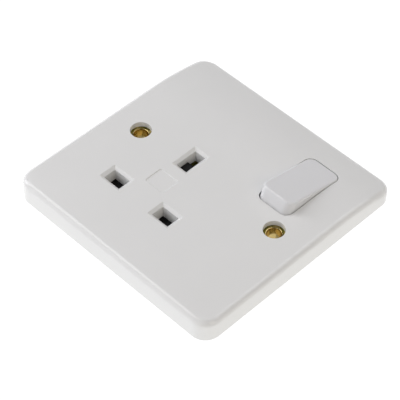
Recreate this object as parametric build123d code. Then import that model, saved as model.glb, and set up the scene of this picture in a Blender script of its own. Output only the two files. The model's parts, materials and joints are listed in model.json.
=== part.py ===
"""A single switched wall socket for three flat pins, built as its separate pieces.

Frame: origin at the middle of the plate on the wall plane, +X to the right and +Y up
as the socket is read on a wall, +Z out of the face. All lengths are in millimetres.
"""
import math
import os

from build123d import *

# Plate
PLATE = 86.0              # side of the square plate
PLATE_CORNER = 5.7        # corner radius in plan
PLATE_EDGE = 2.0          # rounding where the face meets the walls
FACE_H = 7.9              # face above the wall plane
FACE_T = 2.1              # thickness of the face
WALL_T = 2.2              # thickness of the plate's side walls
FLAT_END = 16.0           # the face is flat below this Y and curves down above it
CURVE_R = 100.0           # radius of that curve
ROOT = 0.5                # how far ribs and bosses run into what carries them

# Pin slots
SLOT_X = -9.13            # earth slot, and middle of the other two
SLOT_ROW = -19.93         # line and neutral slots
PIN_PITCH = 22.23         # between the pins, both ways
LINE_SLOT = (7.0, 4.8)    # X and Y of the line and neutral slots
EARTH_SLOT = (4.5, 8.6)   # X and Y of the earth slot
SLOT_CORNER = 0.5
SLOT_LEAD = 1.0           # chamfer round the mouths
CHUTE_WALL = 1.4          # collar behind each slot
CHUTE_END = 2.6           # height at which the collars end
PANEL = (8.2, 7.3)        # bare panel between the slots
PANEL_AT = (-9.2, -10.7)
PANEL_DEPTH = 0.25       # its edges slope at 45 degrees
PANEL_CORNER = 0.9

# Fixing holes and their eyelets
FIXING = 60.3             # between the centres
FIXING_BORE = 2.45        # radius of the clear hole in the eyelet
FIXING_WALL = 2.0         # boss round the counterbore
COUNTERBORE = 3.62        # radius seen in the face
COUNTERBORE_Z = 5.45      # height of the seat
EYELET_T = 0.55           # wall of the eyelet
LIP_GAP = 0.12            # lip to counterbore
LIP_T = 0.5               # lip seen round the hole
FLANGE_W = 0.7            # rim rolled out under the strap
FLANGE_T = 0.5

# Rocker
ROCKER_AT = (22.85, 19.2)     # middle of the opening
ROCKER_HOLE = (13.6, 26.25)   # opening in the face, X and Y
ROCKER_LEAD = 0.5             # chamfer round it
ROCKER_CORNER = 3.0           # corner radius of the opening
ROCKER_GAP = 0.22             # running gap all round
ROCKER_FRONT = 4.6            # pivot to the front of the rocker
ROCKER_FOOT = 0.4             # pivot to the foot of the sloped ends
ROCKER_SKIRT = 1.6            # depth of the skirt below the pivot
SKIRT_IN = 0.3                # skirt inside the sides and ends
ROCKER_EDGE = 0.6             # rounding of the front edges
ROCKER_WALL = 1.6
ROCKER_ROOF = 2.0
WEB_T = 1.6                   # web between the trunnions
COLLAR_WALL = 1.5             # collar round the opening, behind the face
COLLAR_END = 0.5              # height at which it ends
PIVOT_Z = 4.8
PIVOT_R = 1.2
TRUNNION = 1.4                # reach of the trunnions past the opening
TRUNNION_ROOM = 0.2
OFF_TILT = -12.8              # degrees at rest, with the lower end out
ROCKER_TRAVEL = 18.0          # degrees from off to on
HUB_SIDE = 6.4
HUB_CORNER = 1.0
HUB_END = 6.5                 # below the pivot

# Plunger in the rocker's hub
PLUNGER_R = 1.65
PLUNGER_REACH = 10.5          # pivot to the tip
PLUNGER_TOP = 3.6             # pivot to the shoulder the spring sits on
PLUNGER_POINT = 1.25          # slope of the tip
PLUNGER_BORE_TOP = 2.6        # above the pivot
SPIGOT_R = 0.85
SPIGOT = 1.6

# Springs
COIL_R = 1.4
COIL_WIRE = 0.45
COIL_TURNS = 5
COIL_STEPS = 12               # straight lengths in each turn

# Rear housing
BODY_HALF = 31.0          # half of the housing's width
BODY_DEPTH = 17.5         # behind the wall plane
BODY_T = 1.6              # walls and floor
BODY_CORNER = 3.0
BODY_EDGE = 0.6           # chamfer round the back
NOTCH_X = 23.5            # side notches clear the box lugs
NOTCH_Y = 6.0
RIB_T = 1.2               # barriers, rails and keepers
KEEPER_BASE = 0.3         # foot of a trunnion's keeper above the wall
RAIL_OUT = 1.7            # rail to the pin contact beside it
RAIL_END = -6.0           # Y at which the rails end
BARRIER_TOP = -1.2
STRIP_ROOM = 0.2          # round a strip that passes through a wall

# Screws that hold the housing to the plate
SCREW_IN = 3.9            # from the housing's sides
SCREW_UP = 12.0           # Y of the screw on the left
SCREW_R = 1.45
SCREW_BOSS = 2.8
SCREW_ROOM = 0.15         # round the shank in the housing
SCREW_TIP = 1.4           # tip to the face's underside
SCREW_HOLE_END = 0.6      # bottom of the hole to the face's underside
HEAD_R = 2.3
HEAD_H = 1.7
HEAD_SINK = 0.4           # head below the housing's back
HEAD_ROOM = 0.2
DRIVE = (3.0, 0.7, 0.8)   # length, width and depth of the cross slots

# Conductors
STRIP_T = 0.8
STRIP_W = 5.0
GRIP = 1.5                # half the gap between the leaves of a contact
CLIP_W = 6.4
CLIP_MOUTH = (3.0, -1.6)  # half opening and height of the leaves' ends
CLIP_GRIP = (-4.6, -6.0)  # heights between which the leaves grip
CLIP_FOOT = (3.4, -13.0)  # half width and height of the bends above the floor
LINE_RUN = (12.5, 18.5)   # X of the strip from contact to switch
STRAP_W = 7.0
STRAP_EYE = 2.0           # strap round each eyelet
EARTH_PAD = (12.8, 13.2)  # strap round the earth pin
EARTH_BASE = 12.4         # side of the earth contact's base
EARTH_LEAF = 8.0
EARTH_BENDS = (-3.0, -6.5, -8.0, -13.5)   # heights of the bends and ends of its leaves
EARTH_ROOM = 0.45         # round the earth pin in strap and base
EARTH_FLARE = 0.2

# Terminals
TERMINAL_GAP = 1.9        # block to the housing's upper wall
TERMINAL_D = 8.0          # depth of a block along its wire bore
TERMINAL_W = 7.6
TERMINAL_TOP = -5.1
TERMINAL_EDGE = 0.5
WIRE_R = 2.2
WIRE_Z = -8.6
WIRE_ROOM = 0.6           # wire entry in the housing's wall
NEUTRAL_X = -19.0
EARTH_X = -6.6
EARTH_W = 12.6
EARTH_PITCH = 6.4         # between the two wires of the earth block
LINE_X = 7.5
CLAMP_R = 1.95            # slotted terminal screws
CLAMP_OUT = 0.4           # screw's end clear of the wire bore
CLAMP_SINK = 0.3          # head below the housing's back
CLAMP_SLOT = (0.8, 1.1)   # width and depth
CLAMP_ROOM = 0.4          # round the screw in the floor
STRIP_HOLE = 0.25         # round the screw in a strip

# Switch
LEVER_T = 1.6
LEVER_W = 6.0
LEVER_CORNER = 1.0
LEVER_BACK = 6.4          # fulcrum to the end under the rocker's lower half
FULCRUM_R = 1.0
LEVER_SEAT = 0.15         # lever's underside above the fulcrum's centre
LEVER_GAP = 0.1           # plunger's tip to the lever as it passes over the middle
TIP_R = 1.7
TIP_T = 0.8
TIP_EDGE = 0.15           # strip or lever past the tip
WALL_GAP = 0.3            # fixed strip to the housing's upper wall
POST = (6.4, 7.2)         # X and Y of the post's foot
POST_PAD = 0.4            # strip past the foot
STRIP_GAP = 0.75          # between the two strips of the switch
REST_HALF = 2.0           # half width of the lever's rest

# Shutter
SHUTTER_TRAVEL = 5.8
SHUTTER_BOTTOM = 0.3
SHUTTER_PAD = 0.9         # pads past the contacts, each side
SHUTTER_LOW = 0.67        # pads past the slots, below
SHUTTER_HIGH = 0.38       # pads past the slots, above
STEM_HALF = 4.7           # half width of the stem
BRIDGE_T = 1.5            # bar between the spring and the nose
BRIDGE_TOP = 4.6
WINDOW_HALF = 2.5         # half width of the spring's window
NOSE_W = 4.1
NOSE_END = 3.9            # Y of its end under the earth slot
NOSE_FLAT = 0.2           # Y at which its slope starts
NOSE_HIGH = 5.2
NOSE_LOW = 1.0
NOSE_BACK = 0.45          # bridge to the earth slot's collar
GUIDE_T = 1.2             # guides beside the pads
GUIDE_ENDS = (9.0, 6.0)   # below and above the slot row
GUIDE_FOOT = 0.4
STOP_AT = 1.33            # the spring's fixed end, above the slot row
STOP_T = 1.4
STOP_HALF = 2.2
COIL_Z = 2.3              # height of the shutter spring's axis

# Clearances
RUN = 0.05                # round running fits
SLIDE = 0.2               # flat sliding fits
SEAT = 0.02               # parts assembled into one another
PAST = 1.0                # cuts run this far past the surface

UNDER = FACE_H - FACE_T
FLOOR = -BODY_DEPTH + BODY_T
STRIP_TOP = FLOOR + STRIP_T
INNER_HALF = BODY_HALF - BODY_T
LINE_PIN = (SLOT_X + PIN_PITCH / 2, SLOT_ROW)
NEUTRAL_PIN = (SLOT_X - PIN_PITCH / 2, SLOT_ROW)
EARTH_PIN = (SLOT_X, SLOT_ROW + PIN_PITCH)
EYELET_R = FIXING_BORE + EYELET_T
FIXINGS_AT = ((-FIXING / 2, 0), (FIXING / 2, 0))
SCREW_AT = BODY_HALF - SCREW_IN
SCREWS_AT = ((SCREW_AT, -SCREW_AT), (-SCREW_AT, SCREW_UP))
TERMINAL_Y = INNER_HALF - TERMINAL_GAP - TERMINAL_D / 2
TERMINAL_ENDS = (TERMINAL_Y - TERMINAL_D / 2, TERMINAL_Y + TERMINAL_D / 2)
EARTH_XS = (EARTH_X - EARTH_PITCH / 2, EARTH_X + EARTH_PITCH / 2)
PIVOT = (ROCKER_AT[0], ROCKER_AT[1], PIVOT_Z)
ROCKER_HALF = ROCKER_HOLE[0] / 2 - ROCKER_GAP
ROCKER_END = ROCKER_HOLE[1] / 2 - ROCKER_GAP
KEEPER = ROCKER_HOLE[0] / 2 + COLLAR_WALL / 2
MID_TILT = math.radians(OFF_TILT + ROCKER_TRAVEL / 2)
LEVER_TILT = ROCKER_TRAVEL / 2
LEVER_Y = PIVOT[1] + PLUNGER_REACH * math.sin(MID_TILT)
LEVER_Z = PIVOT_Z - PLUNGER_REACH * math.cos(MID_TILT) - LEVER_GAP - LEVER_T - LEVER_SEAT
LEVER_AT = (PIVOT[0], LEVER_Y, LEVER_Z)
POST_STRIP = (LEVER_Y - POST[1] / 2 - POST_PAD, LEVER_Y + POST[1] / 2 + POST_PAD)
FIXED_Y = INNER_HALF - WALL_GAP - STRIP_T / 2
FIXED_RUN = (POST_STRIP[1] + STRIP_GAP, TERMINAL_ENDS[1])
TIP_ARM = FIXED_Y - LEVER_Y - TIP_R - TIP_EDGE
LEVER_FRONT = TIP_ARM + TIP_R + TIP_EDGE
PADS = (SLOT_ROW - LINE_SLOT[1] / 2 - SHUTTER_LOW, SLOT_ROW + LINE_SLOT[1] / 2 + SHUTTER_HIGH)
PAD_HALF = CLIP_W / 2 + SHUTTER_PAD
BRIDGE_END = EARTH_PIN[1] - EARTH_SLOT[1] / 2 - CHUTE_WALL - NOSE_BACK
BRIDGE = (BRIDGE_END - BRIDGE_T, BRIDGE_END)
SPRING_STOP = SLOT_ROW + STOP_AT


def block(xs, ys, zs):
    """A box between two values on each axis, in any order."""
    middle = [(a + b) / 2 for a, b in (xs, ys, zs)]
    return Pos(*middle) * Box(abs(xs[1] - xs[0]), abs(ys[1] - ys[0]), abs(zs[1] - zs[0]))


def about(middle, half):
    """The two ends of a span about its middle."""
    return middle - half, middle + half


def round_block(size, corner, at, zs):
    """An upright prism with rounded corners, its plan centred at a point."""
    plan = RectangleRounded(size[0], size[1], corner)
    return Pos(at[0], at[1], zs[0]) * extrude(plan, zs[1] - zs[0])


def rod(radius, at, zs):
    """An upright cylinder."""
    return Pos(at[0], at[1], (zs[0] + zs[1]) / 2) * Cylinder(radius, zs[1] - zs[0])


def rod_along(axis, radius, at, length):
    """A cylinder along X or Y, centred at a point."""
    turn = Rot(0, 90, 0) if axis == "x" else Rot(90, 0, 0)
    return Pos(*at) * turn * Cylinder(radius, length)


def bent_strip(path, thickness, width, plane):
    """A strip folded along a path, its middle plane on the given plane."""
    left, right = [], []
    for i, point in enumerate(path):
        before = path[max(i - 1, 0)]
        after = path[min(i + 1, len(path) - 1)]
        legs = []
        for a, b in ((before, point), (point, after)):
            length = math.hypot(b[0] - a[0], b[1] - a[1])
            if length:
                legs.append((-(b[1] - a[1]) / length, (b[0] - a[0]) / length))
        nx = sum(leg[0] for leg in legs) / len(legs)
        ny = sum(leg[1] for leg in legs) / len(legs)
        mitre = thickness / 2 / (nx * nx + ny * ny)
        left.append((point[0] + nx * mitre, point[1] + ny * mitre))
        right.append((point[0] - nx * mitre, point[1] - ny * mitre))
    outline = make_face(Polyline(*left, *reversed(right), close=True))
    return extrude(plane * outline, width / 2, both=True)


def coil(length):
    """A compression spring standing on z = 0, its helix made of short straight lengths of square wire."""
    count = COIL_TURNS * COIL_STEPS
    rise = (length - COIL_WIRE) / count
    points = [Vector(COIL_R, 0, rise * i).rotate(Axis.Z, 360 * i / COIL_STEPS) for i in range(count + 1)]
    path = Polyline(*points)
    section = Plane(path @ 0, z_dir=path % 0) * Rectangle(COIL_WIRE, COIL_WIRE)
    return Pos(0, 0, COIL_WIRE / 2) * sweep(section, path, transition=Transition.RIGHT)


def slots():
    """The three pin slots, each as its middle and its size."""
    return ((NEUTRAL_PIN, LINE_SLOT), (LINE_PIN, LINE_SLOT), (EARTH_PIN, EARTH_SLOT))


def plate_form(half, corner, top, bottom, radius):
    """The plate's outside or inside form: rounded square, face curving down at the top."""
    drop = radius - math.sqrt(radius ** 2 - (half - FLAT_END) ** 2)
    middle = (half + FLAT_END) / 2
    half_drop = radius - math.sqrt(radius ** 2 - (middle - FLAT_END) ** 2)
    end = (half, top - drop)
    straight = Polyline((FLAT_END, top), (-half, top), (-half, bottom), (half, bottom), end)
    curve = ThreePointArc(end, (middle, top - half_drop), (FLAT_END, top))
    side = extrude(Plane.YZ * make_face(straight + curve), half, both=True)
    return side & round_block((2 * half, 2 * half), corner, (0, 0), (bottom, top))


def is_rim(edge, half):
    """True for the edges where the face meets the walls."""
    point = edge @ 0.5
    run = (edge @ 1) - (edge @ 0)
    upright = abs(run.Z) > 10 * math.hypot(run.X, run.Y)
    outside = max(abs(point.X), abs(point.Y)) > half - PLATE_CORNER / 2
    return point.Z > FACE_H / 4 and outside and not upright


def on_mouth(edge):
    """True for the edges of a pin slot in the face."""
    point = edge @ 0.5
    if abs(point.Z - FACE_H) > SEAT / 10:
        return False
    for pin, size in slots():
        if abs(point.X - pin[0]) < size[0] / 2 + SEAT and abs(point.Y - pin[1]) < size[1] / 2 + SEAT:
            return True
    return False


def on_opening(edge):
    """True for the edges of the rocker's opening in the face."""
    point = edge @ 0.5
    curved = max(point.Y - FLAT_END, 0)
    face = FACE_H - CURVE_R + math.sqrt(CURVE_R ** 2 - curved ** 2)
    beside = abs(point.X - ROCKER_AT[0]) < ROCKER_HOLE[0] / 2 + SEAT
    return beside and abs(point.Y - ROCKER_AT[1]) < ROCKER_HOLE[1] / 2 + SEAT and abs(point.Z - face) < SEAT


def plate_inside():
    """Bosses, collars, guides and the spring's stop, up to the face's outer height."""
    parts = [rod(COUNTERBORE + FIXING_WALL, at, (0, FACE_H)) for at in FIXINGS_AT]
    parts += [rod(SCREW_BOSS, at, (0, FACE_H)) for at in SCREWS_AT]
    for pin, size in slots():
        parts.append(block(about(pin[0], size[0] / 2 + CHUTE_WALL),
                           about(pin[1], size[1] / 2 + CHUTE_WALL), (CHUTE_END, FACE_H)))
    parts.append(block(about(ROCKER_AT[0], ROCKER_HOLE[0] / 2 + COLLAR_WALL),
                       about(ROCKER_AT[1], ROCKER_HOLE[1] / 2 + COLLAR_WALL), (COLLAR_END, FACE_H)))
    guide_y = (SLOT_ROW - GUIDE_ENDS[0], SLOT_ROW + GUIDE_ENDS[1])
    for pin, side in ((NEUTRAL_PIN, -1), (LINE_PIN, 1)):
        inner = pin[0] + side * (PAD_HALF + SLIDE)
        parts.append(block((inner, inner + side * GUIDE_T), guide_y, (GUIDE_FOOT, FACE_H)))
    parts.append(block(about(SLOT_X, STOP_HALF), (SPRING_STOP - STOP_T, SPRING_STOP), (GUIDE_FOOT, FACE_H)))
    return parts


def front_plate():
    half = PLATE / 2
    outer = plate_form(half, PLATE_CORNER, FACE_H, 0, CURVE_R)
    outer = fillet([e for e in outer.edges() if is_rim(e, half)], PLATE_EDGE)
    inner_half = half - WALL_T
    inner_corner = PLATE_CORNER - WALL_T
    inner_r = CURVE_R - FACE_T
    inner = plate_form(inner_half, inner_corner, UNDER, -PAST, inner_r)
    core = plate_form(inner_half + ROOT, inner_corner, UNDER + ROOT, 0, inner_r + ROOT)
    plate = outer - inner + [part & core for part in plate_inside()]

    plate -= [rod(COUNTERBORE, at, (COUNTERBORE_Z, FACE_H + PAST)) for at in FIXINGS_AT]
    plate -= [rod(EYELET_R + SEAT, at, (-PAST, FACE_H)) for at in FIXINGS_AT]
    plate -= [rod(SCREW_R + SEAT, at, (-PAST, UNDER - SCREW_HOLE_END)) for at in SCREWS_AT]
    plate -= [round_block(size, SLOT_CORNER, pin, (-PAST, FACE_H + PAST)) for pin, size in slots()]
    plate -= block(about(SLOT_X, EARTH_SLOT[0] / 2), (EARTH_PIN[1] - EARTH_SLOT[1], EARTH_PIN[1]),
                   (-PAST, UNDER - SEAT))
    panel = Pos(*PANEL_AT, FACE_H) * RectangleRounded(*PANEL, PANEL_CORNER)
    plate -= extrude(panel, -PANEL_DEPTH, taper=45)
    plate -= round_block(ROCKER_HOLE, ROCKER_CORNER, ROCKER_AT, (-PAST, FACE_H + PAST))
    reach = ROCKER_HOLE[0] / 2 + TRUNNION + TRUNNION_ROOM
    plate -= rod_along("x", PIVOT_R + RUN, PIVOT, 2 * reach)
    plate -= block(about(PIVOT[0], reach), about(PIVOT[1], PIVOT_R + RUN), (-PAST, PIVOT_Z))
    plate = chamfer([e for e in plate.edges() if on_mouth(e)], SLOT_LEAD)
    return chamfer([e for e in plate.edges() if on_opening(e)], ROCKER_LEAD)


def in_rocker(shape):
    """Places a shape drawn about the pivot, in the position off."""
    return Pos(*PIVOT) * Rot(OFF_TILT, 0, 0) * shape


def swing(height):
    """Half length at a height above the pivot of what just passes the opening as the rocker turns."""
    return math.sqrt(ROCKER_END ** 2 - height ** 2)


def rocker():
    corner = ROCKER_CORNER - ROCKER_GAP
    tilt = math.radians(-OFF_TILT)
    front = (ROCKER_END - ROCKER_FRONT * math.sin(tilt)) / math.cos(tilt)
    foot = swing(ROCKER_FOOT)
    side = Polyline((-front, ROCKER_FRONT), (front, ROCKER_FRONT), (foot, ROCKER_FOOT),
                    (-foot, ROCKER_FOOT), close=True)
    body = extrude(Plane.YZ * make_face(side), ROCKER_HALF, both=True)
    upright = [e for e in body.edges() if abs((e @ 0).Z - (e @ 1).Z) > ROCKER_FRONT / 2]
    body = fillet(upright, corner)
    body = fillet(body.faces().sort_by(Axis.Z)[-1].edges(), ROCKER_EDGE)
    skirt = (2 * (ROCKER_HALF - SKIRT_IN), 2 * (swing(ROCKER_SKIRT) - SKIRT_IN))
    body += round_block(skirt, corner - SKIRT_IN, (0, 0), (-ROCKER_SKIRT, ROCKER_FOOT + ROOT))
    roof = ROCKER_FRONT - ROCKER_ROOF
    body -= block(about(0, ROCKER_HALF - ROCKER_WALL), about(0, front - ROCKER_WALL),
                  (-ROCKER_SKIRT - PAST, roof))
    side = about(0, HUB_SIDE / 2)
    hub = block(side, side, (-HUB_END, roof + ROOT))
    hub = fillet(hub.edges().filter_by(Axis.Z), HUB_CORNER)
    web = block(about(0, ROCKER_HALF - ROOT), about(0, WEB_T / 2), (-ROCKER_SKIRT, roof + ROOT))
    pins = rod_along("x", PIVOT_R, (0, 0, 0), ROCKER_HOLE[0] + 2 * TRUNNION)
    pins -= block(about(0, ROCKER_HALF - ROOT), about(0, PIVOT_R + PAST), about(0, PIVOT_R + PAST))
    body += [hub, web, pins]
    body -= rod(PLUNGER_R + 2 * RUN, (0, 0), (-HUB_END - PAST, PLUNGER_BORE_TOP))
    return in_rocker(body)


def plunger():
    body = rod(PLUNGER_R, (0, 0), (-PLUNGER_REACH, -PLUNGER_TOP))
    body = chamfer(body.edges().sort_by(Axis.Z)[0], PLUNGER_POINT)
    body += rod(SPIGOT_R, (0, 0), (-PLUNGER_TOP, SPIGOT - PLUNGER_TOP))
    return in_rocker(body)


def plunger_spring():
    length = PLUNGER_BORE_TOP + PLUNGER_TOP - 2 * SEAT
    return in_rocker(Pos(0, 0, -PLUNGER_TOP + SEAT) * coil(length))


def shutter():
    pads_x = (NEUTRAL_PIN[0] - PAD_HALF, LINE_PIN[0] + PAD_HALF)
    body = block(pads_x, PADS, (SHUTTER_BOTTOM, CHUTE_END - SLIDE))
    body += block(about(SLOT_X, STEM_HALF), (PADS[0], BRIDGE_END), (SHUTTER_BOTTOM, CHUTE_END - SLIDE))
    body += block(about(SLOT_X, WINDOW_HALF), BRIDGE, (SHUTTER_BOTTOM, BRIDGE_TOP))
    nose = Polyline((BRIDGE[0], SHUTTER_BOTTOM), (NOSE_END, SHUTTER_BOTTOM), (NOSE_END, NOSE_LOW),
                    (NOSE_FLAT, NOSE_HIGH), (BRIDGE[0], NOSE_HIGH), close=True)
    body += Pos(SLOT_X, 0, 0) * extrude(Plane.YZ * make_face(nose), NOSE_W / 2, both=True)
    window = (SPRING_STOP - STOP_T - SLIDE, BRIDGE[0])
    return body - block(about(SLOT_X, WINDOW_HALF), window, (0, FACE_H))


def shutter_spring():
    length = BRIDGE[0] - SPRING_STOP - 2 * SEAT
    return Pos(SLOT_X, BRIDGE[0] - SEAT, COIL_Z) * Rot(90, 0, 0) * coil(length)


def eyelets():
    foot = -STRIP_T - FLANGE_T
    rim = EYELET_R + FLANGE_W
    lip = COUNTERBORE - LIP_GAP
    top = COUNTERBORE_Z + LIP_T
    outline = Polyline((FIXING_BORE, foot), (rim, foot), (rim, -STRIP_T), (EYELET_R, -STRIP_T),
                       (EYELET_R, COUNTERBORE_Z), (lip, COUNTERBORE_Z), (lip, top), (FIXING_BORE, top),
                       close=True)
    one = revolve(Plane.XZ * make_face(outline), Axis.Z)
    return [Pos(*at, 0) * one for at in FIXINGS_AT]


def earth_strap():
    zs = (-STRIP_T, 0)
    body = block(about(0, FIXING / 2), about(0, STRAP_W / 2), zs)
    body += [rod(EYELET_R + STRAP_EYE, at, zs) for at in FIXINGS_AT]
    body += block(about(EARTH_PIN[0], EARTH_PAD[0] / 2), about(EARTH_PIN[1], EARTH_PAD[1] / 2), zs)
    middle = -STRIP_T / 2
    drop = TERMINAL_TOP + STRIP_T / 2
    knee = TERMINAL_ENDS[0] - 2 * TERMINAL_EDGE - STRIP_T
    tongue = bent_strip(((EARTH_PIN[1] + EARTH_PAD[1] / 2 - PAST, middle), (knee, middle), (knee, drop),
                         (TERMINAL_ENDS[1] - TERMINAL_EDGE, drop)), STRIP_T, STRAP_W, Plane.YZ)
    body += Pos(EARTH_X, 0, 0) * tongue
    body -= block(about(EARTH_PIN[0], EARTH_SLOT[0] / 2 + EARTH_ROOM),
                  about(EARTH_PIN[1], EARTH_SLOT[1] / 2 + EARTH_ROOM), (-STRIP_T - PAST, PAST))
    return body - [rod(EYELET_R + SEAT, at, (-STRIP_T - PAST, PAST)) for at in FIXINGS_AT]


def earth_contact():
    base_z = (-2 * STRIP_T, -STRIP_T)
    body = block(about(EARTH_PIN[0], EARTH_BASE / 2), about(EARTH_PIN[1], EARTH_BASE / 2), base_z)
    body -= block(about(EARTH_PIN[0], EARTH_SLOT[0] / 2 + EARTH_ROOM),
                  about(EARTH_PIN[1], EARTH_SLOT[1] / 2 + EARTH_ROOM), (-2 * STRIP_T - PAST, 0))
    start = EARTH_SLOT[0] / 2 + EARTH_ROOM + STRIP_T / 2
    middle = GRIP + STRIP_T / 2
    high, grip, end, tip = EARTH_BENDS
    for side in (-1, 1):
        path = ((side * start, -STRIP_T), (side * start, high), (side * middle, grip),
                (side * middle, end), (side * (start - EARTH_FLARE), tip))
        body += Pos(*EARTH_PIN, 0) * bent_strip(path, STRIP_T, EARTH_LEAF, Plane.XZ)
    return body


def pin_clip():
    """A two-leaf contact for a line or neutral pin, standing on the floor."""
    middle = GRIP + STRIP_T / 2
    foot = (CLIP_FOOT[0], FLOOR + STRIP_T / 2)
    leaf = (CLIP_MOUTH, (middle, CLIP_GRIP[0]), (middle, CLIP_GRIP[1]), CLIP_FOOT, foot)
    path = leaf + tuple((-y, z) for y, z in reversed(leaf))
    return bent_strip(path, STRIP_T, CLIP_W, Plane.YZ)


def on_floor(xs, ys):
    """A flat run of strip lying on the housing's floor."""
    return block(xs, ys, (FLOOR, STRIP_TOP))


def clamp_hole(x):
    """Room for a terminal screw in a strip on the floor."""
    return rod(CLAMP_R + STRIP_HOLE, (x, TERMINAL_Y), (FLOOR - PAST, STRIP_TOP + PAST))


def neutral_contact():
    body = Pos(*NEUTRAL_PIN, 0) * pin_clip()
    body += on_floor(about(NEUTRAL_X, STRIP_W / 2), (SLOT_ROW, TERMINAL_ENDS[1]))
    return body - clamp_hole(NEUTRAL_X)


def line_contact():
    body = Pos(*LINE_PIN, 0) * pin_clip()
    body += on_floor((LINE_PIN[0], LINE_RUN[1]), about(SLOT_ROW, CLIP_W / 2))
    body += on_floor(LINE_RUN, (SLOT_ROW - CLIP_W / 2, POST_STRIP[1]))
    body += on_floor((LINE_RUN[0], PIVOT[0] + POST[0] / 2), POST_STRIP)
    return body


def lever_post():
    foot = block(about(PIVOT[0], POST[0] / 2), about(LEVER_Y, POST[1] / 2), (STRIP_TOP, STRIP_TOP + STRIP_T))
    stem = block(about(PIVOT[0], LEVER_W / 2), about(LEVER_Y, FULCRUM_R), (STRIP_TOP, LEVER_Z))
    return foot + stem + rod_along("x", FULCRUM_R, LEVER_AT, LEVER_W)


def at_lever(shape, tilt):
    """Places a shape drawn about the fulcrum, at a tilt in degrees."""
    return Pos(*LEVER_AT) * Rot(tilt, 0, 0) * shape


def contact_lever():
    body = block(about(0, LEVER_W / 2), (-LEVER_BACK, LEVER_FRONT), (LEVER_SEAT, LEVER_SEAT + LEVER_T))
    body = fillet(body.edges().filter_by(Axis.Z), LEVER_CORNER)
    body -= rod_along("x", FULCRUM_R + RUN, (0, 0, 0), LEVER_W + PAST)
    return at_lever(body, LEVER_TILT)


def lever_tip():
    return at_lever(rod(TIP_R, (0, TIP_ARM), (LEVER_SEAT - TIP_T, LEVER_SEAT)), LEVER_TILT)


def fixed_tip():
    top = LEVER_SEAT - TIP_T - RUN
    return at_lever(rod(TIP_R, (0, TIP_ARM), (top - TIP_T, top)), -LEVER_TILT)


def fixed_contact():
    turn = math.radians(-LEVER_TILT)
    depth = LEVER_SEAT - 2 * TIP_T - RUN - STRIP_T / 2
    base = FLOOR + STRIP_T / 2

    def under_tip(arm):
        y = arm * math.cos(turn) - depth * math.sin(turn)
        z = arm * math.sin(turn) + depth * math.cos(turn)
        return LEVER_Y + y, LEVER_Z + z

    inner = under_tip(TIP_ARM - TIP_R - 2 * TIP_EDGE)
    knee = (FIXED_Y, inner[1] + (FIXED_Y - inner[0]) * math.tan(turn))
    path = (inner, knee, (FIXED_Y, base), (FIXED_RUN[0], base))
    body = Pos(PIVOT[0], 0, 0) * bent_strip(path, STRIP_T, STRIP_W, Plane.YZ)
    body += on_floor((LINE_X, PIVOT[0] + STRIP_W / 2), FIXED_RUN)
    body += on_floor(about(LINE_X, TERMINAL_W / 2), TERMINAL_ENDS)
    return body - clamp_hole(LINE_X)


def terminal(xs, width, bottom):
    """A brass block with a wire bore and a clamping screw for each of its places."""
    middle = sum(xs) / len(xs)
    body = block(about(middle, width / 2), TERMINAL_ENDS, (bottom, TERMINAL_TOP))
    body = chamfer(body.edges().filter_by(Axis.Y), TERMINAL_EDGE)
    for x in xs:
        body -= rod_along("y", WIRE_R, (x, TERMINAL_Y, WIRE_Z), TERMINAL_D + 2 * PAST)
        body -= rod(CLAMP_R + SEAT, (x, TERMINAL_Y), (FLOOR - PAST, WIRE_Z))
    return body


def clamp_screw(x):
    """A slotted screw, backed out so that the wire bore is clear."""
    start = -BODY_DEPTH + CLAMP_SINK
    body = rod(CLAMP_R, (x, TERMINAL_Y), (start, WIRE_Z - WIRE_R - CLAMP_OUT))
    return body - block(about(x, CLAMP_SLOT[0] / 2), about(TERMINAL_Y, CLAMP_R + PAST),
                        (start - PAST, start + CLAMP_SLOT[1]))


def housing_screws():
    head = -BODY_DEPTH + HEAD_SINK
    length, width, depth = DRIVE
    screws = []
    for x, y in SCREWS_AT:
        body = rod(SCREW_R, (x, y), (head, UNDER - SCREW_TIP)) + rod(HEAD_R, (x, y), (head, head + HEAD_H))
        for long, wide in ((length, width), (width, length)):
            body -= block(about(x, long / 2), about(y, wide / 2), (head - PAST, head + depth))
        screws.append(body)
    return screws


def housing_form(half, corner, notch_x, notch_y, zs):
    """The housing's outline with its two side notches, between two heights."""
    body = round_block((2 * half, 2 * half), corner, (0, 0), zs)
    for side in (-1, 1):
        body -= block((side * notch_x, side * (half + PAST)), about(0, notch_y), (zs[0] - PAST, zs[1] + PAST))
    return body


def housing_inside():
    """Bosses, rails, barriers, the switch's inner wall and the lever's rest."""
    parts = [rod(SCREW_BOSS, at, (FLOOR, 0)) for at in SCREWS_AT]
    far = BODY_HALF - PAST
    for side in (-1, 1):
        x = SLOT_X + side * (PIN_PITCH / 2 - CLIP_W / 2 - RAIL_OUT)
        parts.append(block(about(x, RIB_T / 2), (-far, RAIL_END), (FLOOR, SHUTTER_BOTTOM - SLIDE)))
    gaps = ((NEUTRAL_X + TERMINAL_W / 2, EARTH_X - EARTH_W / 2),
            (EARTH_X + EARTH_W / 2, LINE_X - TERMINAL_W / 2))
    for left, right in gaps:
        parts.append(block(about((left + right) / 2, RIB_T / 2), (TERMINAL_ENDS[0] - RIB_T, far),
                           (FLOOR, BARRIER_TOP)))
    parts.append(block(about(PIVOT[0] - KEEPER, RIB_T / 2), (NOTCH_Y + PAST, far), (FLOOR, 0)))
    rest = LEVER_Z - LEVER_BACK * math.sin(math.radians(LEVER_TILT)) - LEVER_GAP
    rest_y = (NOTCH_Y + PAST, LEVER_Y - LEVER_BACK + RIB_T)
    parts.append(block(about(PIVOT[0], REST_HALF), rest_y, (FLOOR, rest)))
    return parts


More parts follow.
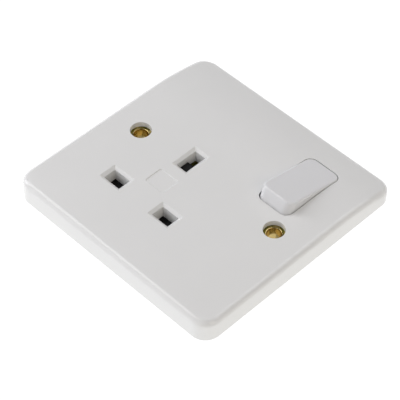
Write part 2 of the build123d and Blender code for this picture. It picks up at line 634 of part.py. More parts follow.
def rear_housing():
    outer = housing_form(BODY_HALF, BODY_CORNER, NOTCH_X, NOTCH_Y, (-BODY_DEPTH, 0))
    outer = chamfer(outer.faces().sort_by(Axis.Z)[0].edges(), BODY_EDGE)
    inner = housing_form(INNER_HALF, BODY_CORNER - BODY_T, NOTCH_X - BODY_T, NOTCH_Y + BODY_T, (FLOOR, PAST))
    body = outer - inner
    body += [part & outer for part in housing_inside()]
    keeper_y = about(PIVOT[1], PIVOT_R - 2 * RUN)
    for x, wall in zip(about(PIVOT[0], KEEPER), (PIVOT[0] - KEEPER, INNER_HALF + BODY_T / 2)):
        body += block(about(x, RIB_T / 2), keeper_y, (-PAST, PIVOT_Z - PIVOT_R - RUN))
        foot = (min(x, wall) - RIB_T / 2, max(x, wall) + RIB_T / 2)
        body += block(foot, keeper_y, (-PAST, KEEPER_BASE))

    back = -BODY_DEPTH - PAST
    for at in SCREWS_AT:
        body -= rod(SCREW_R + SCREW_ROOM, at, (back, PAST))
        body -= rod(HEAD_R + HEAD_ROOM, at, (back, -BODY_DEPTH + HEAD_SINK + HEAD_H))
    entry = WIRE_R + WIRE_ROOM
    for x in (NEUTRAL_X, *EARTH_XS, LINE_X):
        body -= rod(CLAMP_R + CLAMP_ROOM, (x, TERMINAL_Y), (back, FLOOR + RUN))
        body -= block(about(x, entry), (INNER_HALF - PAST, BODY_HALF + PAST), about(WIRE_Z, entry))
    body -= block(about(0, NOTCH_X + PAST), about(0, STRAP_W / 2 + STRIP_ROOM), (-STRIP_T, PAST))
    wall = about(PIVOT[0] - KEEPER, RIB_T)
    for low, high in ((NOTCH_Y, POST_STRIP[1]), FIXED_RUN):
        body -= block(wall, (low - STRIP_ROOM, high + STRIP_ROOM), (FLOOR, STRIP_TOP + STRIP_ROOM))
    return body


PIECES = {
    "front_plate": front_plate,
    "rear_housing": rear_housing,
    "housing_screws": housing_screws,
    "fixing_eyelets": eyelets,
    "earth_strap": earth_strap,
    "earth_contact": earth_contact,
    "earth_terminal": lambda: terminal(EARTH_XS, EARTH_W, FLOOR),
    "earth_screws": lambda: [clamp_screw(x) for x in EARTH_XS],
    "neutral_contact": neutral_contact,
    "neutral_terminal": lambda: terminal((NEUTRAL_X,), TERMINAL_W, STRIP_TOP),
    "neutral_screw": lambda: clamp_screw(NEUTRAL_X),
    "line_contact": line_contact,
    "line_terminal": lambda: terminal((LINE_X,), TERMINAL_W, STRIP_TOP),
    "line_screw": lambda: clamp_screw(LINE_X),
    "lever_post": lever_post,
    "contact_lever": contact_lever,
    "lever_tip": lever_tip,
    "fixed_contact": fixed_contact,
    "fixed_tip": fixed_tip,
    "rocker": rocker,
    "plunger": plunger,
    "plunger_spring": plunger_spring,
    "shutter": shutter,
    "shutter_spring": shutter_spring,
}

os.makedirs("parts", exist_ok=True)
for name, make in PIECES.items():
    shape = make()
    if isinstance(shape, list):
        shape = Compound(children=shape)
    export_step(shape, f"parts/{name}.step")
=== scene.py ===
"""Looks for the wall socket: finishes, mouldings, eyelets, screws, springs and a studio."""
import json
import math

import bmesh
import bpy
from bpy.props import FloatProperty, FloatVectorProperty, IntProperty, PointerProperty
from mathutils import Matrix, Vector


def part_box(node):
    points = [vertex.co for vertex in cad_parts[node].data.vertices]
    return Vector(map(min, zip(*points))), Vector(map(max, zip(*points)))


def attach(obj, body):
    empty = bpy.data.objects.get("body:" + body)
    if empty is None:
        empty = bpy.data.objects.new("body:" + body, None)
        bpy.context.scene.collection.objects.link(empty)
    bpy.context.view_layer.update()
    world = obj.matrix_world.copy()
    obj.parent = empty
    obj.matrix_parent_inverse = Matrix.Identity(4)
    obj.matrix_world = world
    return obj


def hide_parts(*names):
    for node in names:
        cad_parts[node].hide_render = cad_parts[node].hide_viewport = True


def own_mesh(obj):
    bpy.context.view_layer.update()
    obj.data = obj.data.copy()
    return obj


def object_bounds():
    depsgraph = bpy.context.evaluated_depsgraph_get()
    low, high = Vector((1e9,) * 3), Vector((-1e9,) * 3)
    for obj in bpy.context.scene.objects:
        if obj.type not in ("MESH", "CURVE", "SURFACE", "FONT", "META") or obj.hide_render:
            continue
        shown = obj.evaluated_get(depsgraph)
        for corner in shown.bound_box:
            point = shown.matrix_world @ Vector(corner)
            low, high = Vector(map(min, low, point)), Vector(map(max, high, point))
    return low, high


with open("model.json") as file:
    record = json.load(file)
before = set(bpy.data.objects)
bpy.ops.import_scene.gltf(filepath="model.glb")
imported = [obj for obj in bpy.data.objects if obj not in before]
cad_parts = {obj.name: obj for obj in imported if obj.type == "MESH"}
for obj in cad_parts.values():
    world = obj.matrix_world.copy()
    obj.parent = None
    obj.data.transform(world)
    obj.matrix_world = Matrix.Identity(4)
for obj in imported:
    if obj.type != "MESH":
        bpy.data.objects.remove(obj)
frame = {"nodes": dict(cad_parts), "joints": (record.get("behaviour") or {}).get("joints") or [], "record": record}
cad_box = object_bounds()

bl_info = {
    "name": "Wall socket looks",
    "version": (1, 0, 0),
    "blender": (4, 5, 0),
    "location": "3D View > Sidebar > Socket",
    "description": "Finishes, hardware and studio for a switched wall socket",
    "category": "Object",
}

MM = 0.001
FULL_TURN = 2 * math.pi
NODES = frame["nodes"]
JOINTS = {joint["name"]: joint for joint in frame["joints"]}
RECORD_COLOURS = {row["slot"]: row["base_color"] for row in frame["record"]["materials"]}
FIXING_MOUNT = next(m for m in frame["record"]["mounts"] if m["name"] == "fixing_holes")
HALF_FIXING = FIXING_MOUNT["dims"]["spacing_x_mm"] / 2 * MM
FIXING_BORE = FIXING_MOUNT["dims"]["hole_r_mm"] * MM

# Points nearer than MERGE are one point, a cut snaps to points within CUT_SNAP of it, and faces that would
# coincide stand SKIN apart.
MERGE = 1e-7
CUT_SNAP = 1e-8
SKIN = 0.02 * MM

# Edges sharper than these stay sharp.
SHARP = math.radians(35)
SLOT_EDGE = math.radians(22)

# Steps in a turned corner, an upright corner, the face's curve, a thread's turn and a coil's turn,
# and the sides of a coil's wire.
ROUNDING_STEPS = 4
CORNER_STEPS = 10
CURVE_STEPS = 720
THREAD_STEPS = 28
COIL_STEPS = 24
WIRE_SIDES = 12

# The plate's face: its height over the wall, the end of its flat part along Y and the radius beyond that.
FACE = 7.9 * MM
FACE_FLAT_END = 16.0 * MM
FACE_CURVE = 100.0 * MM

# The rocker's opening: its middle, its sides, its corner, the depth of its lip, and a size well beyond it.
OPENING_AT = (22.85 * MM, 19.2 * MM)
OPENING = (13.6 * MM, 26.25 * MM)
OPENING_CORNER = 3.0 * MM
LIP_DEPTH = 1.9 * MM
BEYOND_OPENING = 60.0 * MM

# The pin slots: their sides, the end of their collars, the depth to which their chamfers are filled,
# and how far above the face a mouth's cutter goes on, as a share of its depth.
LINE_SLOT = (7.0 * MM, 4.8 * MM)
EARTH_SLOT = (4.5 * MM, 8.6 * MM)
COLLAR_END = 2.6 * MM
FILL_DEPTH = 1.4 * MM
MOUTH_OVER = 0.3
SLOTS = (
    ((-20.245 * MM, -19.93 * MM), LINE_SLOT),
    ((1.985 * MM, -19.93 * MM), LINE_SLOT),
    ((-9.13 * MM, 2.3 * MM), EARTH_SLOT),
)

# The foot of the rocker's near end: the band inside the opening's outline where its points lie, and how far
# they are drawn at most.
FOOT_BAND = 0.4 * MM
FOOT_SHIFT = Vector((0.0, -0.155 * MM, -0.97 * MM))

# The eyelets: the flange's width, the height of the earth strap's underside and the lip's thickness.
FLANGE_WIDTH = 0.7 * MM
STRAP_UNDER = -0.8 * MM
LIP_THICKNESS = 0.5 * MM

# The housing screws: the head's radius, the share of it that is flat, the crown's height and rounding,
# the thread's depth, and how far inside the head the thread starts.
HEAD_RADIUS = 2.3 * MM
HEAD_FLAT = 0.62
CROWN_HEIGHT = 0.6 * MM
CROWN_ROUNDING = 0.45 * MM
SCREW_THREAD = 0.32 * MM
THREAD_START = 0.2 * MM

# The terminal screws: the thread's depth in pitches, the width and height of the chamfers at the slotted
# end and at the point, and the margin of the blank that trims the thread.
CLAMP_THREAD = 0.55
DRIVE_CHAMFER = (0.3 * MM, 0.5 * MM)
POINT_CHAMFER = (0.5 * MM, 0.6 * MM)
BLANK_MARGIN = 0.1 * MM

# Where the crest of a thread starts and ends, in pitches.
THREAD_CREST = (0.42, 0.58)

# The springs: the rise of a closed turn in wire diameters, and the foot and length of the plunger's spring
# along its axis, from the rocker's pivot.
CLOSED_RISE = 0.9
PLUNGER_COIL_FOOT = -3.58 * MM
PLUNGER_COIL_LENGTH = 6.16 * MM

# Plastics: their gloss, the share of the record's black that is kept, a painted shade that darkens the shutter and
# plunger to the shade down in the slots, the clouds' share of the shading beside the specks, its tint, and the
# pull of the flow marks.
PLASTIC_IOR = 1.52
PAINTED_SLOT_SHADE = 0.45
CLOUD_SHARE = 0.65
CLOUD_SHADE = (0.80, 0.81, 0.80, 1.0)
FLOW_STRETCH = (0.4, 1.0, 1.0)

# Metals: the pull, relief and shine of their lines, the tint and roughness of tarnish, and how far from an
# eyelet's bore its painted highlight begins to fade and is gone, with the share of tarnish that it leaves; beyond
# it, the full tarnish is a painted dark reflection.
LINE_STRETCH = (1.0, 0.05, 0.05)
LINE_BUMP = 0.25
LINE_LIFT = 0.01 * MM
LINE_SHINE = (1.14, 1.08, 0.92, 1.0)
TARNISH_SHADE = (0.20, 0.24, 0.07, 1.0)
TARNISH_ROUGHNESS = 0.06
BORE_HIGHLIGHT_START = 0.15 * MM
BORE_HIGHLIGHT_END = 0.45 * MM
BORE_HIGHLIGHT_TARNISH = 0.35

# Sockets of a Mix node that carry its factor and colours, and its colour result.
MIX_INPUTS = (0, 6, 7)
MIX_RESULT = 2

# What a surface group puts out.
SURFACE = (("Colour", "colour"), ("Roughness", "value"), ("Height", "value"))

# Softboxes: azimuth and elevation in degrees, width and height in metres.
SOFTBOXES = {
    "left": (-67.0, 27.0, (0.31, 0.5)),
    "high": (-86.0, 58.0, (0.61, 0.28)),
    "fill": (-33.0, 30.0, (0.4, 0.4)),
    "front": (10.0, 27.0, (0.32, 0.28)),
    "back": (174.0, 54.0, (0.6, 0.42)),
    "right": (85.0, 36.0, (0.4, 0.4)),
}
LAMP_DISTANCE = 0.8
COOL_WHITE = (0.985, 0.985, 1.02)

# The studio: the floor, the sines of the heights between which tent turns to ceiling, and the camera.
FLOOR_RADIUS = 6.0
FLOOR_SIDES = 64
FLOOR_SHADE = 0.96
TENT_TOP = 0.18
CEILING_FOOT = 0.36
SENSOR_WIDTH = 36.0
CLIP_START = 0.01


def colour_property(slot, name, description):
    """A colour whose default is the record's base colour of a material slot."""
    return FloatVectorProperty(name=name, description=description, subtype="COLOR", size=3, min=0, max=1,
                               default=RECORD_COLOURS[slot])


def length_property(name, description, millimetres):
    """A length in metres, its default given in millimetres."""
    return FloatProperty(name=name, description=description, subtype="DISTANCE", unit="LENGTH", precision=5,
                         default=millimetres * MM)


def angle_property(name, description, degrees):
    """An angle in radians, its default given in degrees."""
    return FloatProperty(name=name, description=description, subtype="ANGLE", default=math.radians(degrees))


def level_property(name, description, level):
    """A brightness, where 1 is white."""
    return FloatProperty(name=name, description=description, default=level)


class SocketFinishes(bpy.types.PropertyGroup):
    """Colours of the plastics and metals."""

    white_plastic: colour_property("white_plastic", "Plate", "Gloss thermoset of the front plate")
    rocker_plastic: colour_property("rocker_plastic", "Rocker", "Gloss thermoset of the rocker")
    housing_plastic: colour_property("housing_plastic", "Housing", "Matt moulding behind the plate")
    dark_plastic: colour_property("dark_plastic", "Shutter and plunger", "Black moulding")
    brass: colour_property("brass", "Brass", "Drawn and turned brass")
    bronze: colour_property("bronze", "Bronze", "Rolled spring bronze")
    silver: colour_property("silver", "Contact silver", "Silver alloy of the contact tips")
    steel: colour_property("steel", "Plated steel", "Screws and springs")
    gloss: FloatProperty(name="Gloss roughness", description="Roughness of the gloss mouldings", default=0.18,
                         min=0, max=1, subtype="FACTOR")


class SocketHardware(bpy.types.PropertyGroup):
    """Sizes of the eyelets, screws, springs and mouldings that are made here."""

    eyelet_wall: length_property("Eyelet wall", "Thickness of the eyelet's tube", 0.55)
    lip_rounding: length_property("Lip rounding", "Rounding of the eyelet's lip", 0.2)
    clamp_pitch: length_property("Clamp thread pitch", "Pitch of the terminal screws", 0.7)
    clamp_slot: length_property("Clamp slot", "Width of the slot in the terminal screws", 0.8)
    clamp_slot_depth: length_property("Clamp slot depth", "Depth of that slot", 1.1)
    screw_pitch: length_property("Screw pitch", "Pitch of the housing screws", 1.0)
    screw_shank: length_property("Screw shank", "Radius of the housing screws over the thread", 1.45)
    head_height: length_property("Screw head", "Height of the housing screws' heads", 1.7)
    cross_length: length_property("Cross recess", "Length of the recess across the head", 2.8)
    cross_width: length_property("Cross width", "Width of each arm of the recess", 0.7)
    cross_depth: length_property("Cross depth", "Depth of the recess", 1.0)
    coil_radius: length_property("Coil radius", "Axis to the middle of the springs' wire", 1.4)
    coil_wire: length_property("Coil wire", "Diameter of the springs' wire", 0.45)
    coil_turns: IntProperty(name="Active turns", description="Open turns of each spring", default=4, min=1)
    lip_width: length_property("Opening lip", "Width of the lip round the rocker's opening", 0.75)
    slot_lead: length_property("Slot chamfer", "Width of the chamfer round the pin slots", 1.02)
    slot_drop: length_property("Slot chamfer depth", "Depth of that chamfer", 0.85)
    rocker_foot: length_property("Rocker foot", "Pivot to the foot of the rocker's end walls", 0.4)
    pad_height: length_property("Shutter pads", "Thickness of the shutter's pads and stem", 2.1)
    pad_length: length_property("Pad length", "Length of the pads along the shutter's travel", 5.85)
    stem_width: length_property("Stem width", "Width of the stem between pads and bridge", 9.4)
    window_width: length_property("Window width", "Width of the window for the shutter's spring", 5.0)
    window_start: length_property("Window start", "Foot of the pads to the window", 2.8)
    bridge_start: length_property("Bridge start", "End of the nose to the window's end", 9.25)
    bridge_length: length_property("Bridge length", "Bar between the spring and the nose", 1.5)
    bridge_height: length_property("Bridge height", "Height of that bar", 4.3)
    nose_width: length_property("Nose width", "Width of the nose in the earth slot", 4.1)
    nose_height: length_property("Nose height", "Height of the nose", 4.45)
    nose_ramp: FloatVectorProperty(name="Nose ramp", description="Length and height of the ramp at its end",
                                   size=2, subtype="XYZ", unit="LENGTH", default=(0.9 * MM, 3.75 * MM))


class SocketStage(bpy.types.PropertyGroup):
    """Camera, lights and floor."""

    azimuth: angle_property("Azimuth", "Camera from -Y towards +X", 44.514)
    elevation: angle_property("Elevation", "Camera above the wall plane", 48.225)
    roll: angle_property("Roll", "Turn of the camera about its own axis", 0.742)
    distance: FloatProperty(name="Distance", description="Camera to the origin", unit="LENGTH",
                            default=0.537378)
    lens: FloatProperty(name="Lens", description="Focal length on a 36 mm sensor", default=149.68)
    shift: FloatVectorProperty(name="Shift", description="Lens shift that frames the photograph", size=2,
                               default=(-0.0139, -0.0125))
    floor_colour: FloatVectorProperty(name="Floor", description="Pale floor", subtype="COLOR", size=3,
                                      default=(0.12, 0.12, 0.12))
    floor_glow: level_property("Floor light", "White of the lit floor", 0.98)
    horizon: level_property("Horizon", "White of the tent round the floor", 0.6)
    ceiling: level_property("Ceiling", "Level of the room above the tent", 0.1)
    left_level: level_property("Left softbox", "Brightness of the one on the left", 4.35)
    high_level: level_property("High softbox", "Brightness of the one high on the left", 3.05)
    fill_level: level_property("Fill softbox", "Brightness of the one left of the camera", 0.8)
    front_level: level_property("Front softbox", "Brightness of the one by the camera", 2.5)
    back_level: level_property("Back softbox", "Brightness of the one behind", 1.75)
    right_level: level_property("Right softbox", "Brightness of the one on the right", 2.3)
    right_tint: FloatVectorProperty(name="Right tint", description="Warmth of the light on the right",
                                    subtype="COLOR", size=3, default=(1.0, 0.90, 0.76))


def add_node(tree, kind, sockets=None, **settings):
    """A shader node with its settings, its sockets linked or set."""
    made = tree.nodes.new(kind)
    for key, value in settings.items():
        setattr(made, key, value)
    for key, value in (sockets or {}).items():
        feed(tree, made.inputs[key], value)
    return made


def feed(tree, socket, value):
    """Links a socket, or sets its value."""
    if isinstance(value, bpy.types.NodeSocket):
        tree.links.new(value, socket)
    else:
        socket.default_value = value


def calculate(tree, operation, first, second=0.0):
    """One Math node, as its output."""
    made = add_node(tree, "ShaderNodeMath", operation=operation)
    feed(tree, made.inputs[0], first)
    feed(tree, made.inputs[1], second)
    return made.outputs[0]


def remap(tree, value, low, high, to_low, to_high):
    """A value stretched from one range to another, with soft ends."""
    made = add_node(tree, "ShaderNodeMapRange", interpolation_type="SMOOTHSTEP")
    for socket, number in zip(made.inputs, (value, low, high, to_low, to_high)):
        feed(tree, socket, number)
    return made.outputs[0]


def blend_colours(tree, factor, first, second, blend_type="MIX"):
    """One colour Mix node, as its output."""
    made = add_node(tree, "ShaderNodeMix", data_type="RGBA", blend_type=blend_type)
    for index, value in zip(MIX_INPUTS, (factor, first, second)):
        feed(tree, made.inputs[index], value)
    return made.outputs[MIX_RESULT]


def noise(tree, vector, scale, detail=2.0, roughness=0.5):
    """A noise pattern between 0 and 1, as its value."""
    made = add_node(tree, "ShaderNodeTexNoise",
                    {"Vector": vector, "Scale": scale, "Detail": detail, "Roughness": roughness})
    return made.outputs["Fac"]


def stretch(tree, vector, scale):
    """Coordinates stretched so that a pattern runs in lines."""
    made = add_node(tree, "ShaderNodeMapping", {"Vector": vector, "Scale": scale})
    return made.outputs["Vector"]


def new_group(name, inputs, outputs):
    """A shader node group with its sockets, its inputs as they arrive and its outputs as they leave."""
    tree = bpy.data.node_groups.new(name, "ShaderNodeTree")
    kinds = {"colour": "NodeSocketColor", "vector": "NodeSocketVector", "value": "NodeSocketFloat"}
    for label, kind in inputs:
        tree.interface.new_socket(label, in_out="INPUT", socket_type=kinds[kind])
    for label, kind in outputs:
        tree.interface.new_socket(label, in_out="OUTPUT", socket_type=kinds[kind])
    arriving = tree.nodes.new("NodeGroupInput").outputs
    leaving = tree.nodes.new("NodeGroupOutput").inputs
    return tree, arriving, leaving


def moulded_skin():
    """Moulded plastic: faint flow clouds, fine filler specks and a slightly uneven gloss."""
    inputs = (("Vector", "vector"), ("Colour", "colour"), ("Clouding", "value"), ("Roughness", "value"),
              ("Texture", "value"))
    tree, given, out = new_group("moulded_skin", inputs, SURFACE)
    clouds = noise(tree, given["Vector"], scale=55.0, detail=3.0)
    specks = noise(tree, given["Vector"], scale=3200.0, detail=1.0)
    flow = noise(tree, stretch(tree, given["Vector"], FLOW_STRETCH), scale=240.0, detail=4.0)
    shade = calculate(tree, "ADD", calculate(tree, "MULTIPLY", clouds, CLOUD_SHARE),
                      calculate(tree, "MULTIPLY", specks, 1 - CLOUD_SHARE))
    cloudy = remap(tree, shade, low=0.3, high=0.7, to_low=1.0, to_high=0.0)
    depth = calculate(tree, "MULTIPLY", cloudy, given["Clouding"])
    darker = blend_colours(tree, 1.0, given["Colour"], CLOUD_SHADE, "MULTIPLY")
    feed(tree, out["Colour"], blend_colours(tree, depth, given["Colour"], darker))
    uneven = remap(tree, flow, low=0.2, high=0.8, to_low=-0.012, to_high=0.012)
    feed(tree, out["Roughness"], calculate(tree, "ADD", given["Roughness"], uneven))
    peel = noise(tree, given["Vector"], scale=700.0, detail=2.0)
    grit = noise(tree, given["Vector"], scale=5200.0, detail=2.0)
    texture = calculate(tree, "MULTIPLY", grit, given["Texture"])
    feed(tree, out["Height"], calculate(tree, "ADD", peel, texture))
    return tree


def worked_metal():
    """Drawn, rolled or turned metal: fine lines across the vector's X, tarnish clouds, uneven gloss."""
    inputs = (("Vector", "vector"), ("Colour", "colour"), ("Tarnish", "value"), ("Roughness", "value"))
    tree, given, out = new_group("worked_metal", inputs, SURFACE)
    drawn = stretch(tree, given["Vector"], LINE_STRETCH)
    lines = noise(tree, drawn, scale=9000.0, detail=3.0, roughness=0.6)
    clouds = noise(tree, given["Vector"], scale=420.0, detail=4.0, roughness=0.6)
    dull = blend_colours(tree, 1.0, given["Colour"], TARNISH_SHADE, "MULTIPLY")
    patches = remap(tree, clouds, low=0.3, high=0.8, to_low=0.35, to_high=1.0)
    stain = calculate(tree, "MULTIPLY", patches, given["Tarnish"])
    stained = blend_colours(tree, stain, given["Colour"], dull)
    bright = blend_colours(tree, 1.0, stained, LINE_SHINE, "MULTIPLY")
    shine = remap(tree, lines, low=0.4, high=0.7, to_low=0.0, to_high=0.6)
    feed(tree, out["Colour"], blend_colours(tree, shine, stained, bright))
    uneven = calculate(tree, "ADD", remap(tree, lines, low=0.3, high=0.7, to_low=-0.05, to_high=0.05),
                       calculate(tree, "MULTIPLY", stain, TARNISH_ROUGHNESS))
    feed(tree, out["Roughness"], calculate(tree, "ADD", given["Roughness"], uneven))
    feed(tree, out["Height"], lines)
    return tree


def start_material(name):
    """A node material, its tree, its shader and its object coordinates."""
    made = bpy.data.materials.new(name)
    made.use_nodes = True
    tree = made.node_tree
    shader = tree.nodes["Principled BSDF"]
    place = tree.nodes.new("ShaderNodeTexCoord").outputs["Object"]
    return made, tree, shader, place


def dress_shader(tree, shader, group, values, bump, lift):
    """Places a surface group and feeds the shader from it."""
    made = add_node(tree, "ShaderNodeGroup", node_tree=group)
    for key, value in values.items():
        feed(tree, made.inputs[key], value)
    feed(tree, shader.inputs["Base Color"], made.outputs["Colour"])
    feed(tree, shader.inputs["Roughness"], made.outputs["Roughness"])
    relief = add_node(tree, "ShaderNodeBump",
                      {"Strength": bump, "Distance": lift, "Height": made.outputs["Height"]})
    feed(tree, shader.inputs["Normal"], relief.outputs["Normal"])


def plastic(name, colour, clouding, roughness, texture, bump, lift, specular=0.5):
    """A moulded plastic."""
    made, tree, shader, place = start_material(name)
    group = bpy.data.node_groups.get("moulded_skin") or moulded_skin()
    values = {"Vector": place, "Colour": (*colour, 1.0), "Clouding": clouding, "Roughness": roughness,
              "Texture": texture}
    dress_shader(tree, shader, group, values, bump, lift)
    shader.inputs["IOR"].default_value = PLASTIC_IOR
    shader.inputs["Specular IOR Level"].default_value = specular
    return made


def round_axes(tree, place, axis_at):
    """Coordinates whose X runs out from an upright axis at each side of X = 0, and the radius from it."""
    parts = add_node(tree, "ShaderNodeSeparateXYZ", {"Vector": place}).outputs
    across = calculate(tree, "SUBTRACT", calculate(tree, "ABSOLUTE", parts["X"]), axis_at)
    squares = calculate(tree, "ADD", calculate(tree, "MULTIPLY", across, across),
                        calculate(tree, "MULTIPLY", parts["Y"], parts["Y"]))
    radius = calculate(tree, "SQRT", squares)
    along = calculate(tree, "ADD", radius, parts["Z"])
    vector = add_node(tree, "ShaderNodeCombineXYZ", {"X": along, "Y": across, "Z": parts["Y"]})
    return vector.outputs["Vector"], radius


def metal(name, colour, tarnish, roughness, turn=(0.0, 0.0, 0.0), axis_at=None):
    """A worked metal, its lines across X after a turn, or round an upright axis at each side of X = 0.

    Round an axis the bore is painted brighter than the flange: less tarnish there is a painted highlight, and the
    full tarnish on the flange is a painted dark reflection.
    """
    made, tree, shader, place = start_material(name)
    group = bpy.data.node_groups.get("worked_metal") or worked_metal()
    if axis_at is None:
        vector = add_node(tree, "ShaderNodeMapping", {"Vector": place, "Rotation": turn}).outputs["Vector"]
    else:
        vector, radius = round_axes(tree, place, axis_at)
        # Less tarnish near the bore is a painted highlight; the full tarnish on the lip beyond it is a painted
        # dark reflection.
        tarnish = remap(tree, radius, low=FIXING_BORE + BORE_HIGHLIGHT_START, high=FIXING_BORE + BORE_HIGHLIGHT_END,
                        to_low=BORE_HIGHLIGHT_TARNISH * tarnish, to_high=tarnish)
    values = {"Vector": vector, "Colour": (*colour, 1.0), "Tarnish": tarnish, "Roughness": roughness}
    dress_shader(tree, shader, group, values, LINE_BUMP, LINE_LIFT)
    shader.inputs["Metallic"].default_value = 1.0
    return made


def dress(material, *names):
    """Gives CAD nodes a finish."""
    for name in names:
        NODES[name].material_slots[0].material = material


def all_of(bm):
    """Everything that a bmesh holds."""
    return bm.verts[:] + bm.edges[:] + bm.faces[:]


def verts_of(geometry):
    """The vertices in an operator's result."""
    return [e for e in geometry if isinstance(e, bmesh.types.BMVert)]


def edges_of(geometry):
    """The edges in an operator's result."""
    return [e for e in geometry if isinstance(e, bmesh.types.BMEdge)]


def close_form(bm):
    """Merges doubles and turns the faces outwards."""
    bmesh.ops.remove_doubles(bm, verts=bm.verts[:], dist=MERGE)
    bmesh.ops.recalc_face_normals(bm, faces=bm.faces[:])


def mesh_object(bm, name):
    """Turns a bmesh into an object at the origin."""
    mesh = bpy.data.meshes.new(name)
    bm.to_mesh(mesh)
    bm.free()
    made = bpy.data.objects.new(name, mesh)
    bpy.context.scene.collection.objects.link(made)
    return made


def finish_piece(bm, name, material, sharp=SHARP):
    """Turns a bmesh into a piece with its finish, smooth apart from its real edges."""
    close_form(bm)
    for face in bm.faces:
        face.smooth = True
    for edge in bm.edges:
        edge.smooth = edge.calc_face_angle(0.0) < sharp
    made = mesh_object(bm, name)
    made.data.materials.append(material)
    return made


def keep_flat(piece):
    """Shades large flat faces flat beside their rounded edges."""
    flat = piece.modifiers.new("flat_faces", "WEIGHTED_NORMAL")
    flat.keep_sharp = True


def place_piece(piece, body, slot, *nodes):
    """Rides a piece on its body in place of CAD nodes."""
    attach(piece, body)
    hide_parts(*nodes)


def spin_outline(outline, steps, rounded=(), rounding=0.0):
    """Turns a closed outline of (radius, height) about Z, with some of its corners rounded."""
    bm = bmesh.new()
    corners = [bm.verts.new((radius, 0.0, height)) for radius, height in outline]
    bm.faces.new(corners)
    if rounded:
        bmesh.ops.bevel(bm, geom=[corners[i] for i in rounded], affect="VERTICES", offset=rounding,
                        segments=ROUNDING_STEPS, profile=0.5, material=-1)
    rim = list(bm.edges)
    bmesh.ops.delete(bm, geom=bm.faces[:], context="FACES_ONLY")
    bmesh.ops.spin(bm, geom=rim + list(bm.verts), cent=(0, 0, 0), axis=(0, 0, 1), angle=FULL_TURN,
                   steps=steps, use_merge=True)
    close_form(bm)
    return bm


def repeat_at(bm, places):
    """Copies what a bmesh holds to each place, and removes the first."""
    first = all_of(bm)
    for place in places:
        copy = bmesh.ops.duplicate(bm, geom=first)["geom"]
        bmesh.ops.translate(bm, verts=verts_of(copy), vec=place)
    bmesh.ops.delete(bm, geom=verts_of(first), context="VERTS")


def thread_form(bm, crest, root, pitch, low, high):
    """Adds a threaded rod about Z: one pitch of its flank spun along the axis.

    Everything that the bmesh holds is then cut off square at the rod's two ends and closed.
    """
    spare_turns = 2
    turns = math.ceil((high - low) / pitch) + spare_turns
    start = low - pitch
    crest_start, crest_end = THREAD_CREST
    flank = ((root, 0.0), (crest, crest_start), (crest, crest_end), (root, 1.0))
    points = [bm.verts.new((radius, 0.0, start + share * pitch)) for radius, share in flank]
    edges = [bm.edges.new(pair) for pair in zip(points, points[1:])]
    bmesh.ops.spin(bm, geom=points + edges, cent=(0, 0, 0), axis=(0, 0, 1), dvec=(0, 0, pitch / THREAD_STEPS),
                   angle=FULL_TURN * turns, steps=THREAD_STEPS * turns)
    bmesh.ops.remove_doubles(bm, verts=bm.verts[:], dist=MERGE)
    for height, way in ((low, -1), (high, 1)):
        cut = bmesh.ops.bisect_plane(bm, geom=all_of(bm), dist=CUT_SNAP, plane_co=(0, 0, height),
                                     plane_no=(0, 0, way), clear_outer=True)["geom_cut"]
        bmesh.ops.edgeloop_fill(bm, edges=edges_of(cut))
    bmesh.ops.recalc_face_normals(bm, faces=bm.faces[:])


def cut_form(bm, *steps):
    """Cuts, trims or joins a bmesh with other bmeshes and gives the result back as a bmesh."""
    work = mesh_object(bm, "work")
    tools = []
    for operation, tool in steps:
        tools.append(mesh_object(tool, "tool"))
        cut = work.modifiers.new("cut", "BOOLEAN")
        cut.operation = operation
        cut.solver = "EXACT"
        cut.object = tools[-1]
    bpy.context.view_layer.update()
    graph = bpy.context.evaluated_depsgraph_get()
    mesh = bpy.data.meshes.new_from_object(work.evaluated_get(graph), depsgraph=graph)
    result = bmesh.new()
    result.from_mesh(mesh)
    bpy.data.meshes.remove(mesh)
    for helper in (work, *tools):
        bpy.data.meshes.remove(helper.data)
    return result


def add_block(bm, size, at):
    """Adds a box to a bmesh and gives its corners back."""
    place = Matrix.Translation(at) @ Matrix.Diagonal((*size, 1.0))
    return bmesh.ops.create_cube(bm, size=1.0, matrix=place)["verts"]


def block_form(size, at):
    """A box as a bmesh."""
    bm = bmesh.new()
    add_block(bm, size, at)
    return bm


def rounded_form(size, corner, at, low, high):
    """An upright block with rounded corners."""
    bm = block_form((*size, high - low), (*at, (low + high) / 2))
    upright = [e for e in bm.edges if abs(e.verts[0].co.z - e.verts[1].co.z) > (high - low) / 2]
    bmesh.ops.bevel(bm, geom=upright, affect="EDGES", offset=corner, segments=CORNER_STEPS, profile=0.5,
                    material=-1)
    return bm


def node_form(name):
    """A merged copy of a CAD node's mesh."""
    bm = bmesh.new()
    bm.from_mesh(NODES[name].data)
    bmesh.ops.transform(bm, matrix=NODES[name].matrix_world, verts=bm.verts[:])
    bmesh.ops.remove_doubles(bm, verts=bm.verts[:], dist=MERGE)
    return bm


